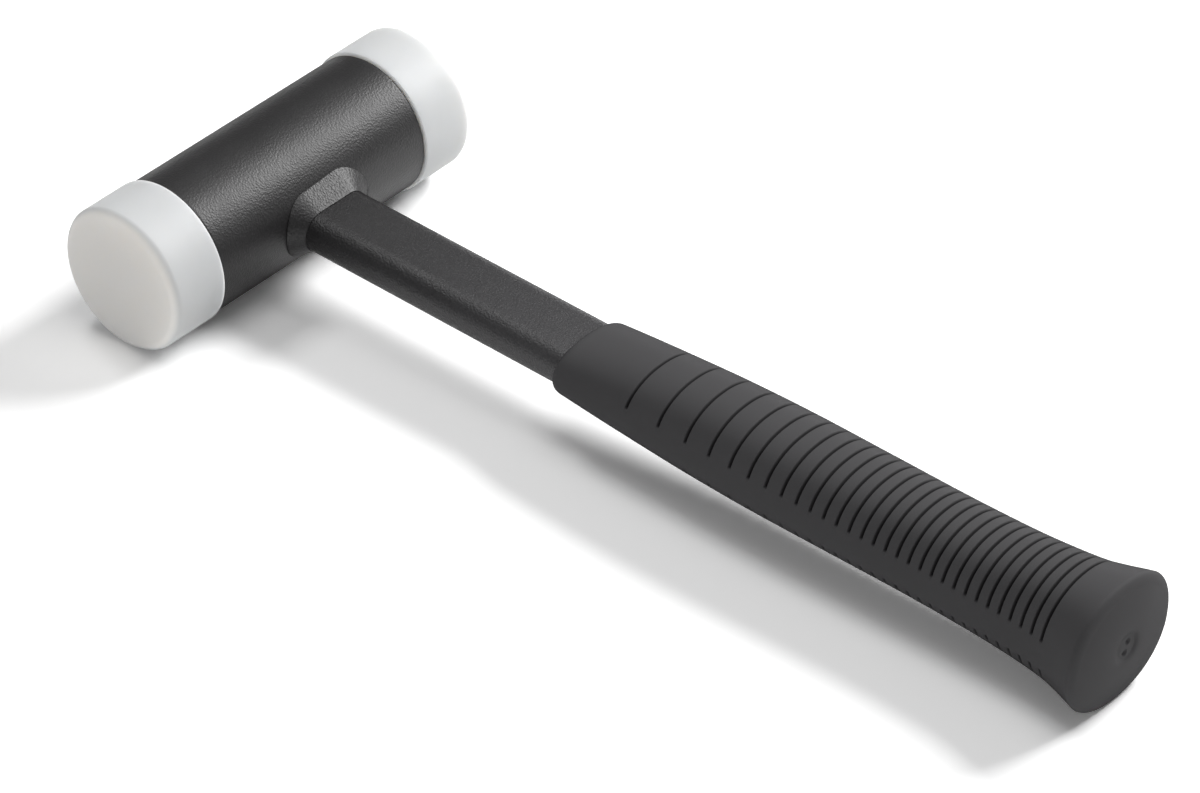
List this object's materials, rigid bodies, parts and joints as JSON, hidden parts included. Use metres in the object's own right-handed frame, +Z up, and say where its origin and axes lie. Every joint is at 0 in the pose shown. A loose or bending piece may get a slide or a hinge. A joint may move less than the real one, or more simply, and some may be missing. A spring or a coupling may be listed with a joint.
{
  "type": "dead blow hammer",
  "caption": "Dead blow hammer: steel tube head with loose shot inside, white nylon striking faces, flat-oval tube handle and a moulded rubber grip.",
  "frame": {"origin": "on the floor that the hammer lies on, midway along the hammer and midway between its faces", "axes": "+X along the handle from the head to the butt, +Y along the head from the near face to the far face, +Z up"},
  "size_m": [0.2934, 0.1094, 0.04],
  "materials": {
    "black_powder_coat": "fine-textured satin powder coat",
    "white_nylon": "translucent white, satin",
    "bare_steel": "turned, bare",
    "steel_shot": "bright balls",
    "black_rubber": "matte, moulded"
  },
  "bodies": {
    "hammer": {"head_tube": "black_powder_coat", "handle_tube": "black_powder_coat", "weld_bead": "black_powder_coat", "chamber_disc_near": "bare_steel", "chamber_disc_far": "bare_steel", "grip_sleeve": "black_rubber"},
    "near_face": {"striking_face_near": "white_nylon"},
    "far_face": {"striking_face_far": "white_nylon"},
    "shot": {"shot_charge": "steel_shot"}
  },
  "joints": [
    {"name": "shot_run", "type": "slide", "parent": "hammer", "child": "shot", "axis": [0, 1, 0], "range_m": [-0.004, 0.004]},
    {"name": "near_face_pull", "type": "slide", "parent": "hammer", "child": "near_face", "axis": [0, -1, 0], "range_m": [0, 0.013]},
    {"name": "far_face_pull", "type": "slide", "parent": "hammer", "child": "far_face", "axis": [0, 1, 0], "range_m": [0, 0.013]}
  ]
}
